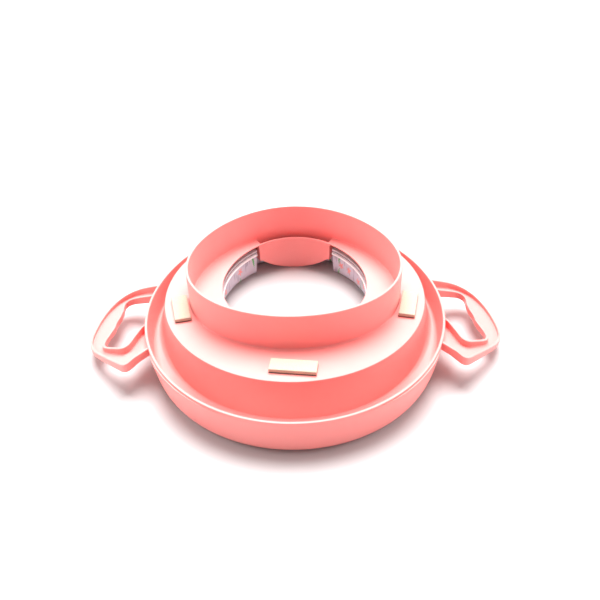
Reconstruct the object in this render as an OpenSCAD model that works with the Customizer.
// Child's toilet training seat, lying upside down on its cushion.
// Millimetres. +Z is up, the ground is z = 0, X runs from handle to handle,
// and +Y is the end with the splash guard. In use the seat is turned over,
// so its sitting side faces -Z here.

/* [Seat shell] */
// Half width of the outer rim
rim_half_w = 141; // [130:1:150]
// Half length of the outer rim
rim_half_l = 166; // [160:1:176]
// Height of the rim's edge above the ground
rim_z = 36; // [32:0.5:38]
// Wall thickness of the moulding
wall = 2.4; // [1.8:0.1:3]
// Clearance between the ground and the shell's deep end
shell_z = 1.2; // [0.6:0.1:2]
// How much higher the shell's underside is at its shallow end
shell_rise = 11; // [6:0.5:12]
// Radius where the outer wall turns under
corner_r = 7; // [4:0.5:9]

/* [Plate and collar] */
// Half width of the flat plate
plate_half_w = 126; // [122:1:128]
// Half length of the flat plate
plate_half_l = 140.5; // [138:0.5:142]
// Height of the plate's upper face
plate_z = 38.7; // [37.5:0.1:41]
// Half width of the locating collar
collar_half_w = 102; // [98:1:104]
// Half length of the locating collar
collar_half_l = 106.5; // [102:0.5:108]
// Height of the collar's edge above the ground
collar_z = 72.7; // [60:0.1:85]

/* [Opening and splash guard] */
// Half width of the opening
hole_half_w = 71.6; // [66:0.2:74]
// Half length of the opening
hole_half_l = 86; // [82:0.5:87]
// Half angle that the splash guard spans
guard_half_angle = 24.5; // [20:0.5:28]
// Height of the guard's lowest point
guard_z = 0.6; // [0.4:0.1:4]
// Height of the guard's edge at its two ends
guard_end_z = 18; // [10:0.5:24]

/* [Handles] */
// Height of a handle's lip where it leaves the rim
lip_near_z = 35; // [32:0.5:35.5]
// Height of a handle's lip at its outer end
lip_far_z = 14; // [12:0.5:20]
// Depth of a handle's side wall at the rim
side_near = 9; // [8:0.5:11]
// Depth of a handle's side wall at its outer end
side_far = 4.6; // [4.2:0.1:6]

/* [Cushion] */
// Height of the seam between the cover and the backing
seam_z = 26; // [22:0.5:28]
// Height of the backing's upper face
backing_z = 33; // [31:0.5:34]
// Thickness of the printed cover
cover_t = 1; // [0.6:0.1:1.4]
// Radius of the cushion's rounded edges
cushion_r = 8; // [5:0.5:9]

/* [Anti-slip pads] */
// Length of a pad
pad_l = 39.6; // [30:0.2:44]
// Width of a pad
pad_w = 15; // [10:0.2:16]
// Thickness of a pad's foam
pad_t = 3.4; // [2:0.1:5]
// Thickness of a pad's adhesive tape
tape_t = 0.6; // [0.3:0.1:1]
// Radius of a pad's corners
pad_r = 1.6; // [0.5:0.1:3]

/* [Hidden] */

// An outline is an egg: half width, half length, centre y, taper towards +Y.
rim = [rim_half_w, rim_half_l, 0, 0.017];
plate = [plate_half_w, plate_half_l, 17.5, 0.013];
collar = [collar_half_w, collar_half_l, 25.4, 0.11];
hole = [hole_half_w, hole_half_l, 33.7, 0.08];
// Every section is cut along a ray from this point.
hub = [0, 25.4];

plate_under = plate_z - wall;
step_draft = 6.5;          // how far the step wall spreads at its foot
deep_gap = 30;             // extra trough width at which the shell is at its deepest
rim_draft = 2.5;           // how far the outer wall leans in
edge_r = 0.6;              // rounding of thin edges
foot_r = 1.2;              // small fillet at the collar's foot
guard_wall_angle = 1.6;    // the guard's end wall, as an angle
jump = 0.3;                // angle over which a face drops from plate to guard
cushion_gap = 1.2;         // clearance between the cushion and the shell
hole_gap = 0.6;            // how far the cushion stands back from the opening
foam_gap = 0.2;            // clearance between the foam and the cover
notch_blend = 3;           // angle over which the cushion bends round the guard
tray_wall = 2.5;           // side walls of the cushion's backing tray
tray_floor = 2;
groove = 1;                // depth of the groove round the opening
bead = 0.9;                // how far the weld bead stands out
rib_share = 0.4;           // where the tray's rib stands, as a share of its width
rib_w = 3;
arc_steps = 4;
handle_x0 = 138;           // where the handle's slopes start
handle_x1 = 194.5;         // outer end of the handle

function grow(o, d) = [o[0] + d, o[1] + d, o[2], o[3]];
function egg(o, t) = [o[0] * (1 - o[3] * sin(t)) * cos(t), o[2] + o[1] * sin(t)];
function side(p, q) = cos(q) * (p[1] - hub[1]) - sin(q) * (p[0] - hub[0]);
function hit(o, q, lo, hi, n) =
    let (mid = (lo + hi) / 2)
    n == 0 ? egg(o, mid)
           : side(egg(o, mid), q) < 0 ? hit(o, q, mid, hi, n - 1) : hit(o, q, lo, mid, n - 1);
// The point where an outline crosses the ray at angle q.
function on(o, q) = hit(o, q, q - 60, q + 60, 18);
function toward(p, q, d) = p + d * (q - p) / norm(q - p);
function lift(p, z) = [p[0], p[1], z];
function smooth(f) = let (c = min(1, max(0, f))) c * c * (3 - 2 * c);
// Angle from the +Y direction, 0 to 180.
function from_front(q) = abs((q + 90) % 360 - 180);
function flip(v) = [for (i = [len(v) - 1 : -1 : 0]) v[i]];
function steps(a, b, n) = [for (i = [0 : n - 1]) a + (b - a) * i / n];

// Lower edge of the splash guard at angle d from +Y.
function guard_edge(d) =
    let (f = min(1, d / guard_half_angle)) guard_z + (guard_end_z - guard_z) * f * f;

// Joins a closed row of closed sections into one solid.
module hoop(sections) {
    n = len(sections);
    m = len(sections[0]);
    polyhedron(
        points = [for (s = sections) for (p = s) p],
        faces = [for (i = [0 : n - 1]) for (j = [0 : m - 1])
                 let (a = i * m + j, b = i * m + (j + 1) % m,
                      c = ((i + 1) % n) * m + (j + 1) % m, d = ((i + 1) % n) * m + j)
                 for (f = [[a, b, c], [a, c, d]]) f],
        convexity = 10);
}

// ---- Seat shell: outer wall, trough, step wall, plate, collar and splash guard ----

shell_angles = let (s = guard_half_angle, e = s + guard_wall_angle)
    concat(steps(90 + e + jump, 450 - e - jump, 80),
           [450 - e - jump, 450 - e, 450 - s - jump],
           steps(450 - s, 450 + s, 14),
           [450 + s, 450 + s + jump, 450 + e]);

// Height of the shell's underside where the rim is g outside the plate.
function low_z(g) = shell_z + shell_rise * (1 - smooth((g - 8) / deep_gap));

// Outer wall from the rim's edge down and round to the foot of the step wall.
function outer_skin(r, f, w, z) =
    let (lean = min(rim_draft, 0.25 * w), c = min(corner_r, 0.45 * w))
    concat([lift(toward(r, f, edge_r), rim_z), lift(r, rim_z - edge_r)],
           [for (i = [0 : arc_steps]) let (a = 90 * i / arc_steps)
            lift(toward(r, f, lean + c * (1 - cos(a))), z + c * (1 - sin(a)))],
           [lift(toward(r, f, w + wall - edge_r), z), lift(toward(r, f, w + wall), z + edge_r)]);

// Trough from the foot of the step wall back up to the rim's edge.
function trough_skin(r, f, w, z) =
    let (lean = min(rim_draft, 0.25 * w), c = min(corner_r - wall, 0.4 * (w - wall - lean)),
         floor_z = z + wall)
    concat([lift(f, floor_z + c), lift(toward(r, f, w - 0.3 * c), floor_z + 0.3 * c),
            lift(toward(r, f, w - c), floor_z)],
           [for (i = [0 : arc_steps]) let (a = 90 * i / arc_steps)
            lift(toward(r, f, wall + lean + c * (1 - sin(a))), floor_z + c * (1 - cos(a)))],
           [lift(toward(r, f, wall), rim_z - edge_r), lift(toward(r, f, wall - edge_r), rim_z)]);

// Underside of the plate, with the guard hanging below it near +Y.
function under_skin(q, low) =
    let (h = on(hole, q), c = on(collar, q))
    [lift(on(grow(plate, -wall), q), plate_under), lift(c, plate_under),
     low ? lift(c, guard_edge(from_front(q))) : lift(h + 0.7 * (c - h), plate_under),
     low ? lift(h, guard_edge(from_front(q))) : lift(h, plate_under)];

// Upper face of the plate's inner part, with the guard's pocket near +Y.
function pocket_skin(q, low) =
    let (h = on(hole, q), b = on(grow(hole, wall), q), c = on(grow(collar, -wall), q))
    [lift(h, plate_z), lift(b, plate_z),
     low ? lift(b, guard_edge(from_front(q)) + wall) : lift(b + 0.4 * (c - b), plate_z),
     low ? lift(c, guard_edge(from_front(q)) + wall) : lift(c, plate_z)];

function collar_skin(q) =
    [lift(on(grow(collar, -wall), q), collar_z - edge_r),
     lift(on(grow(collar, edge_r - wall), q), collar_z),
     lift(on(grow(collar, -edge_r), q), collar_z),
     lift(on(collar, q), collar_z - edge_r),
     lift(on(grow(collar, 0.3 * foot_r), q), plate_z + foot_r),
     lift(on(grow(collar, foot_r), q), plate_z)];

function plate_edge(q) =
    [lift(on(grow(plate, -edge_r), q), plate_z), lift(on(plate, q), plate_z - edge_r)];

function shell_section(q) =
    let (r = on(rim, q), p = on(plate, q), g = norm(r - p), z = low_z(g),
         f = toward(p, r, min(step_draft, 0.4 * g)), w = norm(r - f), d = from_front(q))
    concat(outer_skin(r, f, w, z),
           under_skin(q, d < guard_half_angle + guard_wall_angle + jump / 2),
           pocket_skin(q, d < guard_half_angle + jump / 2),
           collar_skin(q), plate_edge(q), trough_skin(r, f, w, z));

// ---- Handles: open channels with a lip round the outline and round the slot ----

handle_outline = [[120, 26], [146, 35], [157, 38], [167, 38], [176, 34.5], [183, 28], [188, 19],
    [191.5, 8], [193.7, -4], [194.5, -16], [194.3, -28], [192.5, -38], [188.5, -46.5],
    [183.5, -54], [177, -61], [150, -87.5], [146.5, -90.2], [143, -90.4], [140.2, -87.5], [120, -62]];
slot_outline = [[120, 8], [143, 14], [155, 18.5], [163, 20.7], [167.5, 20], [169.8, 17],
    [170, 12], [169, 4], [169.3, -6], [171, -15], [170.9, -24], [173, -32], [175, -40],
    [175.3, -46], [173, -50.5], [168, -54], [156, -60.5], [152, -61.5], [149.3, -59.5],
    [147, -52], [141.5, -37], [120, -26]];

// Everything above a plane that falls from z0 at the rim to z1 at the handle's end.
module above(z0, z1) {
    translate([handle_x0, 0, z0])
        rotate([0, atan((z0 - z1) / (handle_x1 - handle_x0)), 0])
            translate([-60, -150, 0])
                cube([160, 300, 80]);
}

// Everything below a plane that falls from z0 at the rim to z1 at the handle's end.
module below(z0, z1) {
    translate([handle_x0, 0, z0])
        rotate([0, atan((z0 - z1) / (handle_x1 - handle_x0)), 0])
            translate([-60, -150, -80])
                cube([160, 300, 80]);
}

module egg_prism(o, z0, z1) {
    translate([0, 0, z0])
        linear_extrude(z1 - z0)
            polygon([for (i = [0 : 95]) egg(o, i * 360 / 96)]);
}

module channel_well() {
    linear_extrude(60)
        difference() {
            offset(delta = -wall) polygon(handle_outline);
            offset(delta = wall) polygon(slot_outline);
        }
}

module handle() {
    difference() {
        linear_extrude(rim_z - edge_r)
            difference() {
                polygon(handle_outline);
                polygon(slot_outline);
            }
        above(lip_near_z, lip_far_z);
        intersection() {
            channel_well();
            above(lip_near_z - side_near + wall, lip_far_z - side_far + wall);
        }
        below(lip_near_z - side_near, lip_far_z - side_far);
        egg_prism(grow(rim, -wall / 2), -1, 61);
    }
}

module base_shell() {
    color([1, 0.62, 0.58]) {
        hoop([for (q = shell_angles) flip(shell_section(q))]);
        handle();
        mirror([1, 0, 0]) handle();
    }
}

// ---- Cushion: backing tray, foam core and printed cover ----

cushion_outer = grow(plate, -wall - cushion_gap);
guard_clear_angle = guard_half_angle + guard_wall_angle + 0.8;
cushion_angles = let (s = guard_clear_angle, e = s + notch_blend)
    concat(steps(90 + e, 450 - e, 60), steps(450 - e, 450 - s, 4),
           steps(450 - s, 450 + s, 12), steps(450 + s, 450 + e, 4));

// Inner edge of the cushion: along the opening, and round the back of the guard.
function cushion_inner(q) =
    let (bend = 1 - smooth((from_front(q) - guard_clear_angle) / notch_blend))
    on(grow(hole, hole_gap), q) * (1 - bend) + on(grow(collar, 2 * cushion_gap), q) * bend;

// The cushion's outer surface, drawn in by d, from its inner seam to its outer one.
function cushion_curve(q, d) =
    let (i = cushion_inner(q), o = on(cushion_outer, q), w = norm(o - i), c = cushion_r)
    concat([lift(toward(i, o, d), seam_z)],
           [for (k = [0 : arc_steps]) let (a = 90 * k / arc_steps)
            lift(toward(i, o, c - (c - d) * cos(a)), c - (c - d) * sin(a))],
           [for (k = [0 : arc_steps]) let (a = 90 * k / arc_steps)
            lift(toward(i, o, w - c + (c - d) * sin(a)), c - (c - d) * cos(a))],
           [lift(toward(i, o, w - d), seam_z)]);

function backing_section(q) =
    let (i = cushion_inner(q), o = on(cushion_outer, q), w = norm(o - i), rib = rib_share * w)
    [for (p = [[0, seam_z], [-bead, seam_z + 0.6], [-bead, seam_z + 1.4], [0, seam_z + 2],
               [0, seam_z + 3.4], [groove, seam_z + 3.8], [groove, seam_z + 4.8],
               [0, seam_z + 5.2], [0, backing_z], [rib, backing_z],
               [rib, plate_under - 0.1], [rib + rib_w, plate_under - 0.1],
               [rib + rib_w, backing_z], [w, backing_z], [w, seam_z], [w - tray_wall, seam_z],
               [w - tray_wall, backing_z - tray_floor], [tray_wall, backing_z - tray_floor],
               [tray_wall, seam_z]])
     lift(toward(i, o, p[0]), p[1])];

function foam_section(q) =
    let (i = cushion_inner(q), o = on(cushion_outer, q), w = norm(o - i))
    concat(cushion_curve(q, cover_t + foam_gap),
           [for (p = [[w - tray_wall, seam_z], [w - tray_wall, backing_z - tray_floor],
                      [tray_wall, backing_z - tray_floor], [tray_wall, seam_z]])
            lift(toward(i, o, p[0]), p[1])]);

module cushion_backing() {
    color([0.93, 0.92, 0.92]) hoop([for (q = cushion_angles) flip(backing_section(q))]);
}

module cushion_foam() {
    color([0.96, 0.93, 0.82]) hoop([for (q = cushion_angles) foam_section(q)]);
}

module cushion_cover() {
    color([0.85, 0.82, 0.86])
        hoop([for (q = cushion_angles)
              concat(cushion_curve(q, 0), flip(cushion_curve(q, cover_t)))]);
}

// ---- Anti-slip pads, each a foam block on a layer of adhesive tape ----

// Each place is x, y and the direction of the pad's long side.
front_place = [-1.5, -106.5, -7.7];
left_place = [-106.5, -19.5, 104.5];
right_place = [106.5, -19.5, 75.5];
rear_left_place = [-81, 108, 49];
rear_right_place = [81, 108, 131];

module slab(place, z, t) {
    translate([place[0], place[1], z])
        rotate([0, 0, place[2]])
            linear_extrude(t)
                union() {
                    square([pad_l - 2 * pad_r, pad_w], center = true);
                    square([pad_l, pad_w - 2 * pad_r], center = true);
                    for (x = [-1, 1], y = [-1, 1])
                        translate([x * (pad_l / 2 - pad_r), y * (pad_w / 2 - pad_r)])
                            circle(pad_r, $fn = 24);
                }
}

module pad(place) {
    color([0.98, 0.94, 0.84]) slab(place, plate_z + tape_t, pad_t);
}

module tape(place) {
    color([0.72, 0.66, 0.64]) slab(place, plate_z, tape_t);
}

module pad_front() { pad(front_place); }
module pad_left() { pad(left_place); }
module pad_right() { pad(right_place); }
module pad_rear_left() { pad(rear_left_place); }
module pad_rear_right() { pad(rear_right_place); }
module tape_front() { tape(front_place); }
module tape_left() { tape(left_place); }
module tape_right() { tape(right_place); }
module tape_rear_left() { tape(rear_left_place); }
module tape_rear_right() { tape(rear_right_place); }

base_shell();
cushion_backing();
cushion_foam();
cushion_cover();
pad_front();
pad_left();
pad_right();
pad_rear_left();
pad_rear_right();
tape_front();
tape_left();
tape_right();
tape_rear_left();
tape_rear_right();
